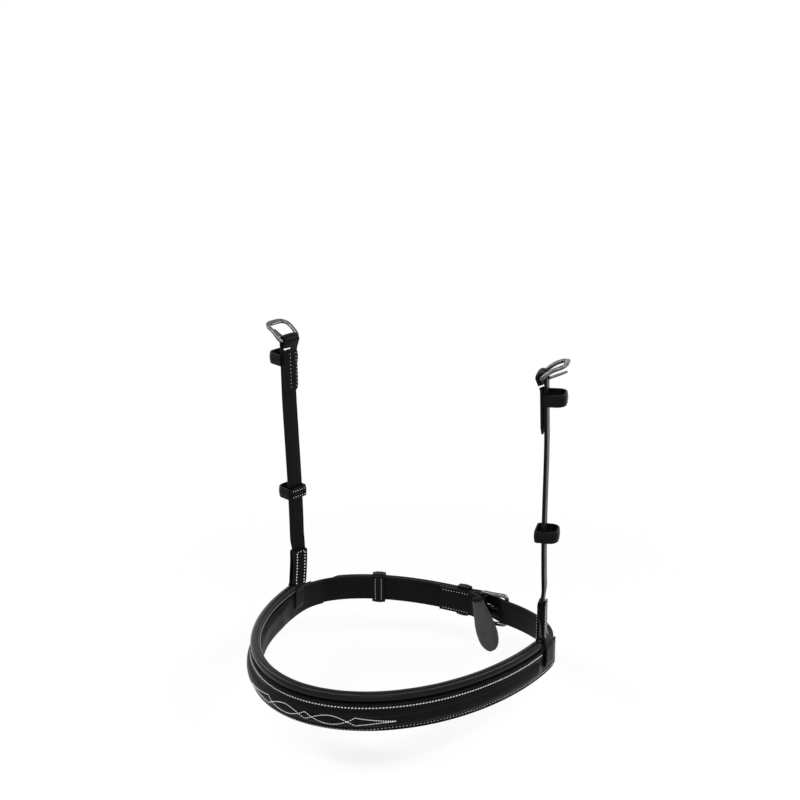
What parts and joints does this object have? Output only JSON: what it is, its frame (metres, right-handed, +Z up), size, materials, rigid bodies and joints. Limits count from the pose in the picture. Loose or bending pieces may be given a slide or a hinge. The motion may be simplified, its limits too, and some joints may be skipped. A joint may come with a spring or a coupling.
{
  "type": "bridle noseband",
  "caption": "Padded raised noseband for a horse bridle: stitched nosepiece with a rolled edge, buckled jaw strap with keepers and chin guard, and two buckled hanger straps.",
  "frame": {"origin": "middle of the nose opening, level with the middle of the nosepiece and jaw strap", "axes": "+Z up the horse's face, -Y the front of the nose, +X the horse's left side"},
  "size_m": [0.2406, 0.2238, 0.2537],
  "materials": {
    "bridle_leather": "waxed black bridle leather, smooth, soft gloss",
    "roll_leather": "soft black leather over a round core, glossy",
    "lining_leather": "soft matt black lining leather",
    "suede": "napped dark grey suede side out",
    "thread": "waxed white twisted thread",
    "steel": "polished stainless steel",
    "padding": "soft open foam and felt"
  },
  "bodies": {
    "noseband": {"nosepiece_cover": "bridle_leather", "raised_centre_filler": "padding", "nosepiece_backing": "bridle_leather", "nosepiece_pad": "padding", "nosepiece_lining": "lining_leather", "rolled_edge": "roll_leather", "rolled_edge_core": "padding", "upper_stitch_row": "thread", "lower_stitch_row": "thread", "fancy_stitch_under_thread": "thread", "fancy_stitch_over_thread": "thread", "buckle_strap": "bridle_leather", "billet_strap": "bridle_leather", "rear_buckle_frame": "steel", "rear_buckle_tongue": "steel", "rear_fixed_keeper": "bridle_leather", "left_hanger_loop": "bridle_leather", "right_hanger_loop": "bridle_leather"},
    "rear_running_keeper": {"rear_running_keeper": "bridle_leather"},
    "chin_guard": {"chin_guard": "suede"},
    "left_hanger": {"left_hanger_strap": "bridle_leather", "left_hanger_fixed_keeper": "bridle_leather"},
    "left_hanger_running_keeper": {"left_hanger_running_keeper": "bridle_leather"},
    "left_hanger_buckle": {"left_hanger_buckle_frame": "steel"},
    "left_hanger_tongue": {"left_hanger_buckle_tongue": "steel"},
    "right_hanger": {"right_hanger_strap": "bridle_leather", "right_hanger_fixed_keeper": "bridle_leather"},
    "right_hanger_running_keeper": {"right_hanger_running_keeper": "bridle_leather"},
    "right_hanger_buckle": {"right_hanger_buckle_frame": "steel"},
    "right_hanger_tongue": {"right_hanger_buckle_tongue": "steel"}
  },
  "joints": [
    {"name": "rear_running_keeper_travel", "type": "hinge", "parent": "noseband", "child": "rear_running_keeper", "pos_m": [-0.02123, -0.05131, 0], "axis": [0, 0, 1], "range_deg": [-3, 3]},
    {"name": "chin_guard_swing", "type": "hinge", "parent": "noseband", "child": "chin_guard", "pos_m": [0.0229, 0.0523, 0.008], "axis": [-0.9944, 0.1053, 0], "range_deg": [0, 50]},
    {"name": "left_hanger_fold", "type": "hinge", "parent": "noseband", "child": "left_hanger", "pos_m": [0.10283, -0.00219, 0.045], "axis": [-0.2753, 0.9602, 0.0464], "range_deg": [-25, 75]},
    {"name": "left_hanger_keeper_slide", "type": "slide", "parent": "left_hanger", "child": "left_hanger_running_keeper", "axis": [0.011, -0.0451, 0.9989], "range_m": [-0.02, 0.02]},
    {"name": "left_buckle_swing", "type": "hinge", "parent": "left_hanger", "child": "left_hanger_buckle", "pos_m": [0.1005, -0.0108, 0.2093], "axis": [-0.2753, 0.9602, 0.0464], "range_deg": [-70, 22]},
    {"name": "left_tongue_swing", "type": "hinge", "parent": "left_hanger_buckle", "child": "left_hanger_tongue", "pos_m": [0.1005, -0.0108, 0.2093], "axis": [-0.2753, 0.9602, 0.0464], "range_deg": [-6, 20]},
    {"name": "right_hanger_fold", "type": "hinge", "parent": "noseband", "child": "right_hanger", "pos_m": [-0.10283, -0.00219, 0.045], "axis": [-0.2753, -0.9602, -0.0464], "range_deg": [-25, 75]},
    {"name": "right_hanger_keeper_slide", "type": "slide", "parent": "right_hanger", "child": "right_hanger_running_keeper", "axis": [-0.0068, -0.0463, 0.9989], "range_m": [-0.02, 0.02]},
    {"name": "right_buckle_swing", "type": "hinge", "parent": "right_hanger", "child": "right_hanger_buckle", "pos_m": [-0.1005, -0.0108, 0.2093], "axis": [-0.2753, -0.9602, -0.0464], "range_deg": [-70, 22]},
    {"name": "right_tongue_swing", "type": "hinge", "parent": "right_hanger_buckle", "child": "right_hanger_tongue", "pos_m": [-0.1005, -0.0108, 0.2093], "axis": [-0.2753, -0.9602, -0.0464], "range_deg": [-6, 20]}
  ]
}
